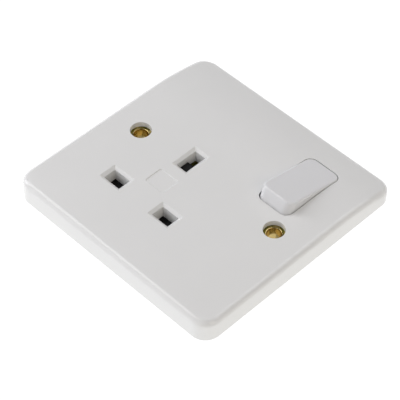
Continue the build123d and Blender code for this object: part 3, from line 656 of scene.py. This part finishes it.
def coil_form(hardware, length, place):
    """A compression spring along its own Z with closed ends, put in place by a matrix."""
    bm = bmesh.new()
    wire = hardware.coil_wire
    upright = Matrix.Translation((hardware.coil_radius, 0, wire / 2)) @ Matrix.Rotation(math.pi / 2, 4, "X")
    ring = bmesh.ops.create_circle(bm, cap_ends=False, segments=WIRE_SIDES, radius=wire / 2,
                                   matrix=upright)["verts"]
    first = list(bm.edges)
    moving = list(ring) + first
    closed_rise = CLOSED_RISE * wire
    open_rise = (length - wire - 2 * closed_rise) / hardware.coil_turns
    for turns, rise in ((1, closed_rise), (hardware.coil_turns, open_rise), (1, closed_rise)):
        moving = bmesh.ops.spin(bm, geom=moving, cent=(0, 0, 0), axis=(0, 0, 1),
                                dvec=(0, 0, rise / COIL_STEPS), angle=FULL_TURN * turns,
                                steps=COIL_STEPS * turns)["geom_last"]
    bmesh.ops.edgeloop_fill(bm, edges=first)
    bmesh.ops.edgeloop_fill(bm, edges=edges_of(moving))
    bmesh.ops.transform(bm, matrix=place, verts=bm.verts[:])
    return bm


def direction(azimuth, elevation):
    """A unit vector, its azimuth from -Y towards +X."""
    across = math.cos(elevation)
    return Vector((math.sin(azimuth) * across, -math.cos(azimuth) * across, math.sin(elevation)))


class SocketOperator:
    """What the socket's operators share."""

    bl_options = {"REGISTER", "UNDO"}

    @property
    def finishes(self):
        """The colours in use."""
        return bpy.context.scene.socket_finishes

    @property
    def hardware(self):
        """The sizes in use."""
        return bpy.context.scene.socket_hardware


class SOCKET_OT_front_plate(SocketOperator, bpy.types.Operator):
    """Makes the front plate in gloss thermoset, with square slot mouths and a crisp lip round the rocker"""

    bl_idname = "socket.front_plate"
    bl_label = "Front plate"

    def execute(self, context):
        finish = plastic("plate_thermoset", self.finishes.white_plastic, clouding=0.10,
                         roughness=self.finishes.gloss, texture=0.25, bump=0.04, lift=0.02 * MM)
        fills, bores, mouths = self.slot_tools()
        bm = cut_form(node_form("front_plate"), ("UNION", self.opening_lip()), ("UNION", fills),
                      ("DIFFERENCE", bores), ("DIFFERENCE", mouths))
        piece = finish_piece(bm, "plate_moulding", finish, SLOT_EDGE)
        keep_flat(piece)
        place_piece(piece, "housing", "white_plastic", "front_plate")
        return {"FINISHED"}

    def opening_lip(self):
        """A ring in the chamfer round the rocker's opening, cut off just under the face."""
        width = 2 * self.hardware.lip_width
        low = FACE - LIP_DEPTH
        outside = [side + width for side in OPENING]
        inside = [side + SKIN for side in OPENING]
        ring = rounded_form(outside, OPENING_CORNER + width / 2, OPENING_AT, low, FACE + MM)
        hole = rounded_form(inside, OPENING_CORNER, OPENING_AT, low - MM, FACE + 2 * MM)
        return cut_form(ring, ("DIFFERENCE", hole), ("INTERSECT", self.under_face()))

    def under_face(self):
        """All that lies just under the face round the opening, flat and then curved along Y."""
        middle = OPENING_AT[0]
        top = FACE - SKIN
        wide = BEYOND_OPENING
        flat = block_form((wide, wide, wide), (middle, FACE_FLAT_END - wide / 2, top - wide / 2))
        curve = bmesh.new()
        axis = Matrix.Translation((middle, FACE_FLAT_END, top - FACE_CURVE))
        bmesh.ops.create_cone(curve, cap_ends=True, segments=CURVE_STEPS, radius1=FACE_CURVE,
                              radius2=FACE_CURVE, depth=wide,
                              matrix=axis @ Matrix.Rotation(math.pi / 2, 4, "Y"))
        return cut_form(flat, ("UNION", curve))

    def slot_tools(self):
        """Blocks that fill the slots' chamfers, and cutters for square bores and shallower mouths."""
        fills, bores, mouths = bmesh.new(), bmesh.new(), bmesh.new()
        lead = self.hardware.slot_lead
        drop = self.hardware.slot_drop
        reach = 2 * (lead + SKIN) * (1 + MOUTH_OVER)
        for at, size in SLOTS:
            self.slot_block(fills, at, size, 2 * lead, FACE - FILL_DEPTH, FACE - SKIN / 2)
            self.slot_block(bores, at, size, SKIN, COLLAR_END - MM, FACE + MM)
            mouth = self.slot_block(mouths, at, size, SKIN, FACE - drop, FACE + MOUTH_OVER * drop)
            top = [vert for vert in mouth if vert.co.z > FACE]
            spread = [(side + SKIN + reach) / (side + SKIN) for side in size]
            about = Matrix.Translation((-at[0], -at[1], 0))
            bmesh.ops.scale(mouths, vec=(*spread, 1.0), space=about, verts=top)
        return fills, bores, mouths

    def slot_block(self, bm, at, size, margin, low, high):
        """Adds an upright block over a slot, its sides longer by a margin, and gives its corners back."""
        return add_block(bm, (size[0] + margin, size[1] + margin, high - low), (*at, (low + high) / 2))


class SOCKET_OT_rocker(SocketOperator, bpy.types.Operator):
    """Makes the rocker in gloss thermoset and carries its near end down into the opening"""

    bl_idname = "socket.rocker"
    bl_label = "Rocker"

    def execute(self, context):
        finish = plastic("rocker_thermoset", self.finishes.rocker_plastic, clouding=0.08,
                         roughness=self.finishes.gloss, texture=0.25, bump=0.03, lift=0.02 * MM)
        bm = node_form("rocker")
        self.lower_end(bm)
        piece = finish_piece(bm, "rocker_moulding", finish)
        keep_flat(piece)
        place_piece(piece, "rocker", "rocker_plastic", "rocker")
        return {"FINISHED"}

    def lower_end(self, bm):
        """Draws the foot of the near end's wall down and out, short of the opening's wall at every angle."""
        axis = JOINTS["plunger_slide"]["axis"]
        pivot = Matrix.Translation(JOINTS["rocker_hinge"]["pos_m"])
        level = pivot @ Matrix.Rotation(-math.atan2(axis[1], axis[2]), 4, "X")
        bmesh.ops.transform(bm, matrix=level.inverted(), verts=bm.verts[:])
        corner_x = OPENING[0] / 2 - OPENING_CORNER
        corner_y = OPENING[1] / 2 - OPENING_CORNER
        inside = OPENING_CORNER - FOOT_BAND
        foot = self.hardware.rocker_foot
        moved = 0
        for vert in bm.verts:
            along = -vert.co.y - corner_y
            aside = max(abs(vert.co.x) - corner_x, 0.0)
            if along > 0 and math.hypot(aside, along) > inside and abs(vert.co.z - foot) < SKIN:
                bmesh.ops.translate(bm, verts=[vert], vec=FOOT_SHIFT * (along / OPENING_CORNER))
                moved += 1
        if not moved:
            raise RuntimeError("no foot found on the rocker's near end")
        bmesh.ops.transform(bm, matrix=level, verts=bm.verts[:])


class SOCKET_OT_rear_housing(SocketOperator, bpy.types.Operator):
    """Gives the rear housing its fine matt moulding"""

    bl_idname = "socket.rear_housing"
    bl_label = "Rear housing"

    def execute(self, context):
        finish = plastic("housing_moulding", self.finishes.housing_plastic, clouding=0.35, roughness=0.48,
                         texture=1.0, bump=0.25, lift=0.04 * MM)
        dress(finish, "rear_housing")
        return {"FINISHED"}


class SOCKET_OT_dark_mouldings(SocketOperator, bpy.types.Operator):
    """Gives the plunger and shutter a black moulding darkened by painted shade, and makes the shutter with its
    blunt nose
    """

    bl_idname = "socket.dark_mouldings"
    bl_label = "Shutter and plunger"

    def execute(self, context):
        # The record's black is darkened further: painted shade for the depths of the slots.
        black = [PAINTED_SLOT_SHADE * level for level in self.finishes.dark_plastic]
        finish = plastic("black_moulding_painted_shade", black, clouding=0.6, roughness=0.55, texture=0.8, bump=0.2,
                         lift=0.03 * MM, specular=0.15)
        dress(finish, "plunger")
        piece = finish_piece(self.shutter_form(), "shutter_moulding", finish)
        place_piece(piece, "shutter", "dark_plastic", "shutter")
        return {"FINISHED"}

    def shutter_form(self):
        """Pads under the line and neutral slots, a windowed stem and the nose in the earth slot."""
        sizes = self.hardware
        low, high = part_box("shutter")
        middle = (low.x + high.x) / 2
        bridge = high.y - sizes.bridge_start
        bridge_end = bridge + sizes.bridge_length

        def bar(wide, start, end, tall):
            return block_form((wide, end - start, tall), (middle, (start + end) / 2, low.z + tall / 2))

        nose = bar(sizes.nose_width, bridge, high.y, sizes.nose_height)
        run, drop = sizes.nose_ramp
        top = Vector((middle, high.y - run, low.z + sizes.nose_height))
        sliced = bmesh.ops.bisect_plane(nose, geom=all_of(nose), plane_co=top, plane_no=(0, drop, run),
                                        clear_outer=True)["geom_cut"]
        bmesh.ops.edgeloop_fill(nose, edges=edges_of(sliced))
        bmesh.ops.recalc_face_normals(nose, faces=nose.faces[:])
        pads = bar(high.x - low.x, low.y, low.y + sizes.pad_length, sizes.pad_height)
        stem = bar(sizes.stem_width, low.y, bridge_end, sizes.pad_height)
        bridging = bar(sizes.window_width, bridge, bridge_end, sizes.bridge_height)
        right_through = 4 * sizes.nose_height
        window = bar(sizes.window_width, low.y + sizes.window_start, bridge, right_through)
        return cut_form(pads, ("UNION", stem), ("UNION", bridging), ("UNION", nose), ("DIFFERENCE", window))


class SOCKET_OT_eyelets(SocketOperator, bpy.types.Operator):
    """Turns the two brass eyelets of the fixing holes, with rolled lips"""

    bl_idname = "socket.eyelets"
    bl_label = "Fixing eyelets"

    def execute(self, context):
        low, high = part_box("fixing_eyelets")
        bore = FIXING_BORE
        tube = bore + self.hardware.eyelet_wall
        lip = high.x - HALF_FIXING
        flange = tube + FLANGE_WIDTH
        seat = high.z - LIP_THICKNESS
        outline = ((bore, low.z), (flange, low.z), (flange, STRAP_UNDER), (tube, STRAP_UNDER), (tube, seat),
                   (lip, seat), (lip, high.z), (bore, high.z))
        flange_and_lip = (1, 2, 6, 7)
        bm = spin_outline(outline, steps=96, rounded=flange_and_lip, rounding=self.hardware.lip_rounding)
        repeat_at(bm, ((-HALF_FIXING, 0, 0), (HALF_FIXING, 0, 0)))
        # The heavy tarnish, thinned near the bore, paints a highlight at the bore and a dark reflection on the
        # lip.
        finish = metal("turned_brass", self.finishes.brass, tarnish=1.5, roughness=0.14, axis_at=HALF_FIXING)
        place_piece(finish_piece(bm, "rolled_eyelets", finish), "housing", "brass", "fixing_eyelets")
        return {"FINISHED"}


class SOCKET_OT_housing_screws(SocketOperator, bpy.types.Operator):
    """Makes the two housing screws with their threads"""

    bl_idname = "socket.housing_screws"
    bl_label = "Housing screws"

    def execute(self, context):
        low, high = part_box("housing_screws")
        sizes = self.hardware
        rim = HEAD_RADIUS
        under = low.z + sizes.head_height
        dome = ((0.0, low.z), (HEAD_FLAT * rim, low.z), (rim, low.z + CROWN_HEIGHT), (rim, under),
                (0.0, under))
        crown = (1, 2)
        head = spin_outline(dome, steps=48, rounded=crown, rounding=CROWN_ROUNDING)
        deep = 2 * sizes.cross_depth
        arms = ((sizes.cross_length, sizes.cross_width, deep), (sizes.cross_width, sizes.cross_length, deep))
        bm = cut_form(head, *(("DIFFERENCE", block_form(arm, (0, 0, low.z))) for arm in arms))
        # Known fault: the cut at the thread's lower end also takes off the head below it, with its recess.
        thread_form(bm, sizes.screw_shank, sizes.screw_shank - SCREW_THREAD, sizes.screw_pitch,
                    under - THREAD_START, high.z)
        repeat_at(bm, ((high.x - rim, low.y + rim, 0), (low.x + rim, high.y - rim, 0)))
        finish = metal("plated_steel", self.finishes.steel, tarnish=0.25, roughness=0.3)
        place_piece(finish_piece(bm, "cross_head_screws", finish), "housing", "steel", "housing_screws")
        return {"FINISHED"}


class SOCKET_OT_clamp_screws(SocketOperator, bpy.types.Operator):
    """Makes the slotted brass terminal screws with their threads"""

    bl_idname = "socket.clamp_screws"
    bl_label = "Terminal screws"

    def execute(self, context):
        finish = metal("screw_brass", self.finishes.brass, tarnish=0.3, roughness=0.26,
                       turn=(0, math.pi / 2, 0))
        for node in ("earth_screws", "neutral_screw", "line_screw"):
            low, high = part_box(node)
            radius = (high.y - low.y) / 2
            bm = self.one_screw(radius, low.z, high.z)
            middle = (low.y + high.y) / 2
            # A node with one screw has both its ends at the same place.
            ends = {round(x, 6) for x in (low.x + radius, high.x - radius)}
            repeat_at(bm, [(x, middle, 0) for x in sorted(ends)])
            piece = finish_piece(bm, node + "_slotted", finish)
            place_piece(piece, "housing", "brass", node)
        return {"FINISHED"}

    def one_screw(self, radius, low, high):
        """A threaded rod trimmed by a chamfered blank and slotted at its lower end."""
        sizes = self.hardware
        pitch = sizes.clamp_pitch
        rod = bmesh.new()
        thread_form(rod, radius, radius - CLAMP_THREAD * pitch, pitch, low - MM, high + MM)
        wide = radius + BLANK_MARGIN
        drive_width, drive_height = DRIVE_CHAMFER
        point_width, point_height = POINT_CHAMFER
        outline = ((0.0, low), (radius - drive_width, low), (wide, low + drive_height),
                   (wide, high - point_height), (radius - point_width, high), (0.0, high))
        blank = spin_outline(outline, steps=40)
        right_across = 4 * radius
        slot = block_form((sizes.clamp_slot, right_across, 2 * sizes.clamp_slot_depth), (0, 0, low))
        return cut_form(rod, ("INTERSECT", blank), ("DIFFERENCE", slot))


class SOCKET_OT_springs(SocketOperator, bpy.types.Operator):
    """Winds the plunger's spring and the shutter's spring"""

    bl_idname = "socket.springs"
    bl_label = "Springs"

    def execute(self, context):
        finish = metal("spring_wire", self.finishes.steel, tarnish=0.2, roughness=0.28)
        self.plunger_spring(finish)
        self.shutter_spring(finish)
        return {"FINISHED"}

    def plunger_spring(self, finish):
        """Stands in the rocker's hub and is pressed towards its upper end."""
        slide = JOINTS["plunger_slide"]
        axis = Vector(slide["axis"]).normalized()
        pivot = Vector(JOINTS["rocker_hinge"]["pos_m"])
        foot = PLUNGER_COIL_FOOT
        length = PLUNGER_COIL_LENGTH
        tilt = math.atan2(axis.y, axis.z)
        place = Matrix.Translation(pivot + foot * axis) @ Matrix.Rotation(-tilt, 4, "X")
        piece = finish_piece(coil_form(self.hardware, length, place), "plunger_coil", finish)
        place_piece(piece, "rocker", "steel", "plunger_spring")
        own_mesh(piece)

    def shutter_spring(self, finish):
        """Lies in the shutter's window and is pressed towards the plate's stop."""
        low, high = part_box("shutter_spring")
        length = high.y - low.y
        middle = (low + high) / 2
        place = Matrix.Translation((middle.x, low.y, middle.z)) @ Matrix.Rotation(-math.pi / 2, 4, "X")
        piece = finish_piece(coil_form(self.hardware, length, place), "shutter_coil", finish)
        place_piece(piece, "housing", "steel", "shutter_spring")
        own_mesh(piece)


class SOCKET_OT_brass_parts(SocketOperator, bpy.types.Operator):
    """Gives the strap, the terminals and the switch's posts their drawn brass"""

    bl_idname = "socket.brass_parts"
    bl_label = "Brass parts"

    def execute(self, context):
        strip = metal("brass_strip", self.finishes.brass, tarnish=3.0, roughness=0.34)
        dress(strip, "earth_strap", "lever_post", "fixed_contact")
        drawn = metal("drawn_brass", self.finishes.brass, tarnish=0.3, roughness=0.24)
        dress(drawn, "earth_terminal", "neutral_terminal", "line_terminal")
        return {"FINISHED"}


class SOCKET_OT_bronze_parts(SocketOperator, bpy.types.Operator):
    """Gives the pin contacts and the lever their rolled bronze"""

    bl_idname = "socket.bronze_parts"
    bl_label = "Bronze contacts"

    def execute(self, context):
        finish = metal("rolled_bronze", self.finishes.bronze, tarnish=2.0, roughness=0.36,
                       turn=(0, 0, math.pi / 2))
        dress(finish, "earth_contact", "neutral_contact", "line_contact", "contact_lever")
        return {"FINISHED"}


class SOCKET_OT_silver_tips(SocketOperator, bpy.types.Operator):
    """Gives the switch's contact tips their silver alloy"""

    bl_idname = "socket.silver_tips"
    bl_label = "Contact tips"

    def execute(self, context):
        finish = metal("contact_silver", self.finishes.silver, tarnish=0.3, roughness=0.3)
        dress(finish, "lever_tip", "fixed_tip")
        return {"FINISHED"}


class SOCKET_OT_stage(SocketOperator, bpy.types.Operator):
    """Sets the floor, the lights and the camera"""

    bl_idname = "socket.stage"
    bl_label = "Studio"

    def execute(self, context):
        stage = context.scene.socket_stage
        context.scene.view_settings.view_transform = "Standard"
        self.floor(stage)
        self.room(stage, context.scene)
        for side, (azimuth, elevation, size) in SOFTBOXES.items():
            tint = stage.right_tint if side == "right" else COOL_WHITE
            self.softbox(side + "_softbox", azimuth, elevation, size, getattr(stage, side + "_level"), tint)
        self.camera(stage, context.scene)
        return {"FINISHED"}

    def floor(self, stage):
        """A large pale floor, lit so that it reads white, on which the socket's back rests."""
        bm = bmesh.new()
        under = Matrix.Translation((0, 0, cad_box[0].z - SKIN))
        bmesh.ops.create_circle(bm, cap_ends=True, segments=FLOOR_SIDES, radius=FLOOR_RADIUS, matrix=under)
        made, tree, shader, place = start_material("pale_floor")
        grain = noise(tree, place, scale=30.0, detail=2.0)
        shade = [FLOOR_SHADE * level for level in stage.floor_colour]
        colour = blend_colours(tree, grain, (*stage.floor_colour, 1.0), (*shade, 1.0))
        feed(tree, shader.inputs["Base Color"], colour)
        shader.inputs["Roughness"].default_value = 1.0
        shader.inputs["Specular IOR Level"].default_value = 0.0
        shader.inputs["Emission Color"].default_value = (1.0, 1.0, 1.0, 1.0)
        shader.inputs["Emission Strength"].default_value = stage.floor_glow
        finish_piece(bm, "floor", made)

    def room(self, stage, scene):
        """A white tent round the floor under a dark ceiling."""
        world = bpy.data.worlds.new("room")
        world.use_nodes = True
        tree = world.node_tree
        way = tree.nodes.new("ShaderNodeTexCoord").outputs["Generated"]
        height = add_node(tree, "ShaderNodeSeparateXYZ", {"Vector": way}).outputs["Z"]
        pale = (stage.horizon,) * 3 + (1.0,)
        dim = (stage.ceiling,) * 3 + (1.0,)
        share = remap(tree, height, low=TENT_TOP, high=CEILING_FOOT, to_low=0.0, to_high=1.0)
        feed(tree, tree.nodes["Background"].inputs["Color"], blend_colours(tree, share, pale, dim))
        scene.world = world

    def softbox(self, name, azimuth, elevation, size, level, tint):
        """A softbox of a given brightness, turned to the socket."""
        lamp = bpy.data.lights.new(name, "AREA")
        lamp.shape = "RECTANGLE"
        lamp.size, lamp.size_y = size
        lamp.energy = level * math.pi * size[0] * size[1]
        lamp.color = tint
        made = bpy.data.objects.new(name, lamp)
        way = direction(math.radians(azimuth), math.radians(elevation))
        turn = way.to_track_quat("Z", "Y").to_matrix().to_4x4()
        made.matrix_world = Matrix.Translation(way * LAMP_DISTANCE) @ turn
        bpy.context.scene.collection.objects.link(made)

    def camera(self, stage, scene):
        """The photograph's camera."""
        lens = bpy.data.cameras.new("camera")
        lens.sensor_width = SENSOR_WIDTH
        lens.lens = stage.lens
        lens.shift_x, lens.shift_y = stage.shift
        lens.clip_start = CLIP_START
        back = direction(stage.azimuth, stage.elevation)
        right = Vector((math.cos(stage.azimuth), math.sin(stage.azimuth), 0.0))
        upright = back.cross(right)
        turn, lean = math.cos(stage.roll), math.sin(stage.roll)
        axes = (right * turn + upright * lean, upright * turn - right * lean, back)
        made = bpy.data.objects.new("camera", lens)
        made.matrix_world = Matrix.Translation(back * stage.distance) @ Matrix(axes).transposed().to_4x4()
        scene.collection.objects.link(made)
        scene.camera = made


OPERATORS = (
    SOCKET_OT_front_plate,
    SOCKET_OT_rocker,
    SOCKET_OT_rear_housing,
    SOCKET_OT_dark_mouldings,
    SOCKET_OT_eyelets,
    SOCKET_OT_housing_screws,
    SOCKET_OT_clamp_screws,
    SOCKET_OT_springs,
    SOCKET_OT_brass_parts,
    SOCKET_OT_bronze_parts,
    SOCKET_OT_silver_tips,
    SOCKET_OT_stage,
)


class SOCKET_PT_panel(bpy.types.Panel):
    """Lists the socket's pieces and their settings"""

    bl_idname = "SOCKET_PT_panel"
    bl_label = "Wall socket"
    bl_space_type = "VIEW_3D"
    bl_region_type = "UI"
    bl_category = "Socket"

    def draw(self, context):
        for operator in OPERATORS:
            self.layout.operator(operator.bl_idname)
        scene = context.scene
        for group in (scene.socket_finishes, scene.socket_hardware, scene.socket_stage):
            box = self.layout.box()
            for name in group.__annotations__:
                box.prop(group, name)


GROUPS = {"socket_finishes": SocketFinishes, "socket_hardware": SocketHardware, "socket_stage": SocketStage}
CLASSES = (*GROUPS.values(), *OPERATORS, SOCKET_PT_panel)


def register():
    for cls in CLASSES:
        bpy.utils.register_class(cls)
    for name, group in GROUPS.items():
        setattr(bpy.types.Scene, name, PointerProperty(type=group))


def unregister():
    for name in GROUPS:
        delattr(bpy.types.Scene, name)
    for cls in reversed(CLASSES):
        bpy.utils.unregister_class(cls)


def main():
    register()
    bpy.ops.socket.front_plate()
    bpy.ops.socket.rocker()
    bpy.ops.socket.rear_housing()
    bpy.ops.socket.dark_mouldings()
    bpy.ops.socket.eyelets()
    bpy.ops.socket.housing_screws()
    bpy.ops.socket.clamp_screws()
    bpy.ops.socket.springs()
    bpy.ops.socket.brass_parts()
    bpy.ops.socket.bronze_parts()
    bpy.ops.socket.silver_tips()
    bpy.ops.socket.stage()


if __name__ == "__main__":
    main()
